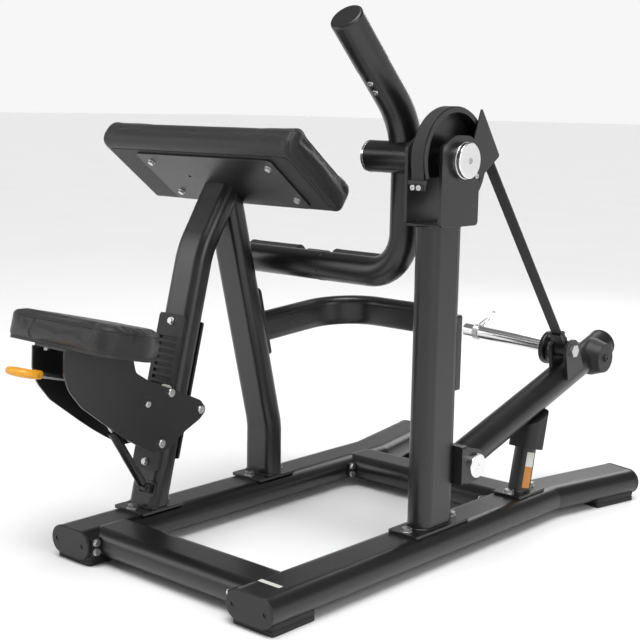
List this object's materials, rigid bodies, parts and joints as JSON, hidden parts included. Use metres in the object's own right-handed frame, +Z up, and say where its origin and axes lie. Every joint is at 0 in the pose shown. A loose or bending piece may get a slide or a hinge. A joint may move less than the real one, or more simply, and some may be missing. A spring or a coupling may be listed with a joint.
{
  "type": "plate-loaded seated arm curl machine",
  "caption": "Seated arm curl machine with sloping arm pad, sliding seat, counterweighted swing arm, cam and belt drive, and a plate-loaded lever with a side horn.",
  "frame": {"origin": "centre of the bounding box at floor level", "axes": "+Y is the way the user faces, +X is the user's right, +Z is up"},
  "size_m": [0.9446, 1.4223, 1.162],
  "materials": {
    "belt_rubber": "woven flat belt",
    "black_bolts": "black oxide",
    "black_plastic": "fine grain",
    "chrome": "polished",
    "frame_paint": "satin powder coat",
    "pad_board": "black pad backing",
    "rack_plastic": "satin",
    "rubber": "matt",
    "vinyl": "grained black vinyl",
    "white_nylon": "nylon",
    "yellow_grip": "dipped",
    "zinc_steel": "zinc plated"
  },
  "bodies": {
    "frame": {"left_rail": "frame_paint", "right_rail": "frame_paint", "rear_cross_member": "frame_paint", "front_cross_member": "frame_paint", "rail_end_caps": "black_plastic", "end_cap_screws": "black_bolts", "rubber_feet": "rubber", "frame_bolts": "zinc_steel", "main_upright": "frame_paint", "seat_post": "frame_paint", "front_leg": "frame_paint", "seat_rack": "rack_plastic", "guide_strip": "black_plastic", "strut_bracket": "frame_paint", "brace_tube": "frame_paint", "arm_pad": "vinyl", "arm_pad_board": "pad_board", "arm_pad_plate": "frame_paint", "arm_pad_bolts": "zinc_steel", "pivot_housing": "frame_paint", "pivot_bearings": "zinc_steel", "guard_fin": "frame_paint", "lever_bracket": "frame_paint", "lever_pivot_pin": "chrome", "stop_post": "frame_paint", "stop_rubber": "rubber"},
    "movement_arm": {"pivot_axle": "chrome", "pivot_tube": "frame_paint", "axle_caps": "chrome", "arm_tube": "frame_paint", "counterweight": "frame_paint", "arm_screws": "zinc_steel", "arm_end_caps": "black_plastic", "grip_carrier": "frame_paint", "hand_grips": "rubber", "cam_wheel": "frame_paint", "belt_wrap": "belt_rubber", "upper_belt_clamp": "frame_paint"},
    "drive_belt": {"belt_run": "belt_rubber", "lower_belt_clamp": "frame_paint"},
    "weight_lever": {"lever_tube": "frame_paint", "lever_hubs": "frame_paint", "lever_bushes": "white_nylon", "lever_end_caps": "black_plastic", "belt_clevis": "frame_paint", "clevis_pin": "zinc_steel", "weight_horn": "chrome"},
    "collar": {"spring_collar": "zinc_steel"},
    "seat_carriage": {"carriage_frame": "frame_paint", "carriage_bolts": "zinc_steel", "seat_board": "pad_board", "seat_cushion": "vinyl", "release_spring": "zinc_steel"},
    "front_post_roller": {"front_roller": "white_nylon"},
    "upper_post_rollers": {"upper_rear_rollers": "white_nylon"},
    "lower_post_rollers": {"lower_rear_rollers": "white_nylon"},
    "seat_release": {"release_rod": "zinc_steel", "release_handle": "yellow_grip"},
    "strut_body": {"strut_cylinder": "frame_paint"},
    "strut_piston": {"strut_rod": "zinc_steel"}
  },
  "joints": [
    {"name": "arm_swing", "type": "hinge", "parent": "frame", "child": "movement_arm", "pos_m": [0.3645, -0.0169, 0.858], "axis": [1, 0, 0], "range_deg": [0, 125]},
    {"name": "lever_swing", "type": "hinge", "parent": "frame", "child": "weight_lever", "pos_m": [0.3505, 0.0691, 0.199], "axis": [1, 0, 0], "range_deg": [0, 30.34]},
    {"name": "belt_turn", "type": "hinge", "parent": "weight_lever", "child": "drive_belt", "pos_m": [0.3645, 0.47014, 0.3985], "axis": [1, 0, 0], "range_deg": [-32.63, 0], "deforming": ["belt_run"]},
    {"name": "collar_slide", "type": "slide", "parent": "weight_lever", "child": "collar", "axis": [-0.9986, 0, 0.0523], "range_m": [-0.15, 0.1]},
    {"name": "seat_height", "type": "slide", "parent": "frame", "child": "seat_carriage", "axis": [0, 0.2453, 0.9694], "range_m": [-0.015, 0.105]},
    {"name": "front_roller_spin", "type": "hinge", "parent": "seat_carriage", "child": "front_post_roller", "pos_m": [-0.1805, -0.2569, 0.288], "axis": [1, 0, 0], "range_deg": [-41.78, 291.28]},
    {"name": "upper_roller_spin", "type": "hinge", "parent": "seat_carriage", "child": "upper_post_rollers", "pos_m": [-0.1805, -0.3449, 0.34], "axis": [1, 0, 0], "range_deg": [-396.01, 56.74]},
    {"name": "lower_roller_spin", "type": "hinge", "parent": "seat_carriage", "child": "lower_post_rollers", "pos_m": [-0.1805, -0.3729, 0.231], "axis": [1, 0, 0], "range_deg": [-385.71, 55.27]},
    {"name": "release_pull", "type": "slide", "parent": "seat_carriage", "child": "seat_release", "axis": [0, -0.9694, 0.2453], "range_m": [-0.0045, 0.0035], "stiffness_N_per_m": 700, "deforming": ["release_spring"]},
    {"name": "strut_tilt", "type": "hinge", "parent": "frame", "child": "strut_body", "pos_m": [-0.1565, -0.3929, 0.128], "axis": [1, 0, 0], "range_deg": [-14.61, 2.13]},
    {"name": "strut_extend", "type": "slide", "parent": "strut_body", "child": "strut_piston", "axis": [0, -0.5319, 0.8468], "range_m": [-0.01158, 0.08046]}
  ],
  "couplings": [
    {"joint": "lever_swing", "follows": "arm_swing", "ratio": 0.24268},
    {"joint": "belt_turn", "follows": "arm_swing", "ratio": -0.26093},
    {"joint": "front_roller_spin", "follows": "seat_height", "rad_per_m": 48.384},
    {"joint": "upper_roller_spin", "follows": "seat_height", "rad_per_m": -65.792},
    {"joint": "lower_roller_spin", "follows": "seat_height", "rad_per_m": -64.081},
    {"joint": "strut_tilt", "follows": "seat_height", "rad_per_m": -2.4202},
    {"joint": "strut_extend", "follows": "seat_height", "ratio": 0.7653}
  ]
}
